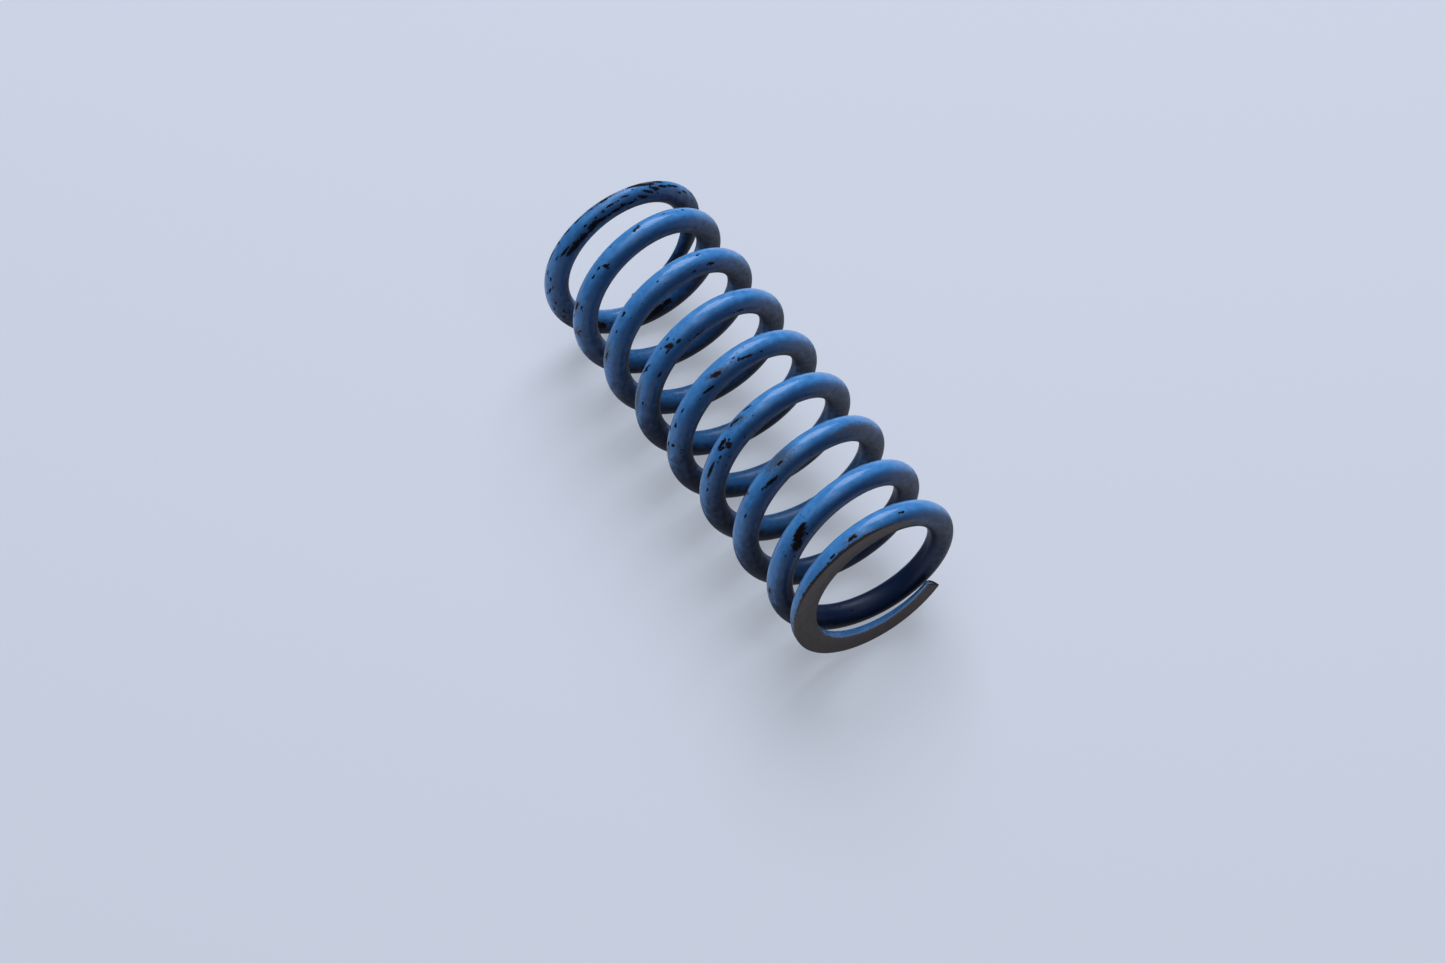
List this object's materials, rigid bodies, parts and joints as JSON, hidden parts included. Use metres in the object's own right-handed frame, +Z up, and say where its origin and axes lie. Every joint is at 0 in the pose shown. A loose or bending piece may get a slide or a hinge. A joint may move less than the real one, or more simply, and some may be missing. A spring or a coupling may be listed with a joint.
{
  "type": "coil spring",
  "caption": "Helical compression spring of blue enamelled round wire, with closed and ground ends that seat flat.",
  "frame": {"origin": "on the floor under the middle of the spring, lying on its side: the centre of the bounding box's bottom face", "axes": "+X along the coil axis towards the front ground end, the one with the blunter wire tip; +Z up, square to the coil axis; the coil axis is 15 mm above the floor"},
  "size_m": [0.0776, 0.03, 0.03],
  "materials": {
    "blue_enamel": "gloss enamel, chipped and rubbed down to bare steel on the ground faces"
  },
  "bodies": {
    "front_end": {"front_end_coil": "blue_enamel"},
    "arc_01": {"active_arc_01": "blue_enamel"},
    "arc_02": {"active_arc_02": "blue_enamel"},
    "arc_03": {"active_arc_03": "blue_enamel"},
    "arc_04": {"active_arc_04": "blue_enamel"},
    "arc_05": {"active_arc_05": "blue_enamel"},
    "arc_06": {"active_arc_06": "blue_enamel"},
    "arc_07": {"active_arc_07": "blue_enamel"},
    "arc_08": {"active_arc_08": "blue_enamel"},
    "arc_09": {"active_arc_09": "blue_enamel"},
    "arc_10": {"active_arc_10": "blue_enamel"},
    "arc_11": {"active_arc_11": "blue_enamel"},
    "arc_12": {"active_arc_12": "blue_enamel"},
    "arc_13": {"active_arc_13": "blue_enamel"},
    "arc_14": {"active_arc_14": "blue_enamel"},
    "arc_15": {"active_arc_15": "blue_enamel"},
    "arc_16": {"active_arc_16": "blue_enamel"},
    "arc_17": {"active_arc_17": "blue_enamel"},
    "arc_18": {"active_arc_18": "blue_enamel"},
    "arc_19": {"active_arc_19": "blue_enamel"},
    "arc_20": {"active_arc_20": "blue_enamel"},
    "arc_21": {"active_arc_21": "blue_enamel"},
    "arc_22": {"active_arc_22": "blue_enamel"},
    "arc_23": {"active_arc_23": "blue_enamel"},
    "arc_24": {"active_arc_24": "blue_enamel"},
    "arc_25": {"active_arc_25": "blue_enamel"},
    "arc_26": {"active_arc_26": "blue_enamel"},
    "arc_27": {"active_arc_27": "blue_enamel"},
    "rear_end": {"rear_end_coil": "blue_enamel"}
  },
  "joints": [
    {"name": "compression", "type": "slide", "parent": "front_end", "child": "rear_end", "axis": [1, 0, 0], "range_m": [0, 0.0398], "stiffness_N_per_m": 20050},
    {"name": "arc_01_travel", "type": "slide", "parent": "front_end", "child": "arc_01", "axis": [1, 0, 0], "range_m": [0, 0.00142]},
    {"name": "arc_02_travel", "type": "slide", "parent": "arc_01", "child": "arc_02", "axis": [1, 0, 0], "range_m": [0, 0.00142]},
    {"name": "arc_03_travel", "type": "slide", "parent": "arc_02", "child": "arc_03", "axis": [1, 0, 0], "range_m": [0, 0.00142]},
    {"name": "arc_04_travel", "type": "slide", "parent": "arc_03", "child": "arc_04", "axis": [1, 0, 0], "range_m": [0, 0.00142]},
    {"name": "arc_05_travel", "type": "slide", "parent": "arc_04", "child": "arc_05", "axis": [1, 0, 0], "range_m": [0, 0.00142]},
    {"name": "arc_06_travel", "type": "slide", "parent": "arc_05", "child": "arc_06", "axis": [1, 0, 0], "range_m": [0, 0.00142]},
    {"name": "arc_07_travel", "type": "slide", "parent": "arc_06", "child": "arc_07", "axis": [1, 0, 0], "range_m": [0, 0.00142]},
    {"name": "arc_08_travel", "type": "slide", "parent": "arc_07", "child": "arc_08", "axis": [1, 0, 0], "range_m": [0, 0.00142]},
    {"name": "arc_09_travel", "type": "slide", "parent": "arc_08", "child": "arc_09", "axis": [1, 0, 0], "range_m": [0, 0.00142]},
    {"name": "arc_10_travel", "type": "slide", "parent": "arc_09", "child": "arc_10", "axis": [1, 0, 0], "range_m": [0, 0.00142]},
    {"name": "arc_11_travel", "type": "slide", "parent": "arc_10", "child": "arc_11", "axis": [1, 0, 0], "range_m": [0, 0.00142]},
    {"name": "arc_12_travel", "type": "slide", "parent": "arc_11", "child": "arc_12", "axis": [1, 0, 0], "range_m": [0, 0.00142]},
    {"name": "arc_13_travel", "type": "slide", "parent": "arc_12", "child": "arc_13", "axis": [1, 0, 0], "range_m": [0, 0.00142]},
    {"name": "arc_14_travel", "type": "slide", "parent": "arc_13", "child": "arc_14", "axis": [1, 0, 0], "range_m": [0, 0.00142]},
    {"name": "arc_15_travel", "type": "slide", "parent": "arc_14", "child": "arc_15", "axis": [1, 0, 0], "range_m": [0, 0.00142]},
    {"name": "arc_16_travel", "type": "slide", "parent": "arc_15", "child": "arc_16", "axis": [1, 0, 0], "range_m": [0, 0.00142]},
    {"name": "arc_17_travel", "type": "slide", "parent": "arc_16", "child": "arc_17", "axis": [1, 0, 0], "range_m": [0, 0.00142]},
    {"name": "arc_18_travel", "type": "slide", "parent": "arc_17", "child": "arc_18", "axis": [1, 0, 0], "range_m": [0, 0.00142]},
    {"name": "arc_19_travel", "type": "slide", "parent": "arc_18", "child": "arc_19", "axis": [1, 0, 0], "range_m": [0, 0.00142]},
    {"name": "arc_20_travel", "type": "slide", "parent": "arc_19", "child": "arc_20", "axis": [1, 0, 0], "range_m": [0, 0.00142]},
    {"name": "arc_21_travel", "type": "slide", "parent": "arc_20", "child": "arc_21", "axis": [1, 0, 0], "range_m": [0, 0.00142]},
    {"name": "arc_22_travel", "type": "slide", "parent": "arc_21", "child": "arc_22", "axis": [1, 0, 0], "range_m": [0, 0.00142]},
    {"name": "arc_23_travel", "type": "slide", "parent": "arc_22", "child": "arc_23", "axis": [1, 0, 0], "range_m": [0, 0.00142]},
    {"name": "arc_24_travel", "type": "slide", "parent": "arc_23", "child": "arc_24", "axis": [1, 0, 0], "range_m": [0, 0.00142]},
    {"name": "arc_25_travel", "type": "slide", "parent": "arc_24", "child": "arc_25", "axis": [1, 0, 0], "range_m": [0, 0.00142]},
    {"name": "arc_26_travel", "type": "slide", "parent": "arc_25", "child": "arc_26", "axis": [1, 0, 0], "range_m": [0, 0.00142]},
    {"name": "arc_27_travel", "type": "slide", "parent": "arc_26", "child": "arc_27", "axis": [1, 0, 0], "range_m": [0, 0.00142]}
  ],
  "couplings": [
    {"joint": "arc_01_travel", "follows": "compression", "ratio": 0.035714},
    {"joint": "arc_02_travel", "follows": "compression", "ratio": 0.035714},
    {"joint": "arc_03_travel", "follows": "compression", "ratio": 0.035714},
    {"joint": "arc_04_travel", "follows": "compression", "ratio": 0.035714},
    {"joint": "arc_05_travel", "follows": "compression", "ratio": 0.035714},
    {"joint": "arc_06_travel", "follows": "compression", "ratio": 0.035714},
    {"joint": "arc_07_travel", "follows": "compression", "ratio": 0.035714},
    {"joint": "arc_08_travel", "follows": "compression", "ratio": 0.035714},
    {"joint": "arc_09_travel", "follows": "compression", "ratio": 0.035714},
    {"joint": "arc_10_travel", "follows": "compression", "ratio": 0.035714},
    {"joint": "arc_11_travel", "follows": "compression", "ratio": 0.035714},
    {"joint": "arc_12_travel", "follows": "compression", "ratio": 0.035714},
    {"joint": "arc_13_travel", "follows": "compression", "ratio": 0.035714},
    {"joint": "arc_14_travel", "follows": "compression", "ratio": 0.035714},
    {"joint": "arc_15_travel", "follows": "compression", "ratio": 0.035714},
    {"joint": "arc_16_travel", "follows": "compression", "ratio": 0.035714},
    {"joint": "arc_17_travel", "follows": "compression", "ratio": 0.035714},
    {"joint": "arc_18_travel", "follows": "compression", "ratio": 0.035714},
    {"joint": "arc_19_travel", "follows": "compression", "ratio": 0.035714},
    {"joint": "arc_20_travel", "follows": "compression", "ratio": 0.035714},
    {"joint": "arc_21_travel", "follows": "compression", "ratio": 0.035714},
    {"joint": "arc_22_travel", "follows": "compression", "ratio": 0.035714},
    {"joint": "arc_23_travel", "follows": "compression", "ratio": 0.035714},
    {"joint": "arc_24_travel", "follows": "compression", "ratio": 0.035714},
    {"joint": "arc_25_travel", "follows": "compression", "ratio": 0.035714},
    {"joint": "arc_26_travel", "follows": "compression", "ratio": 0.035714},
    {"joint": "arc_27_travel", "follows": "compression", "ratio": 0.035714}
  ]
}
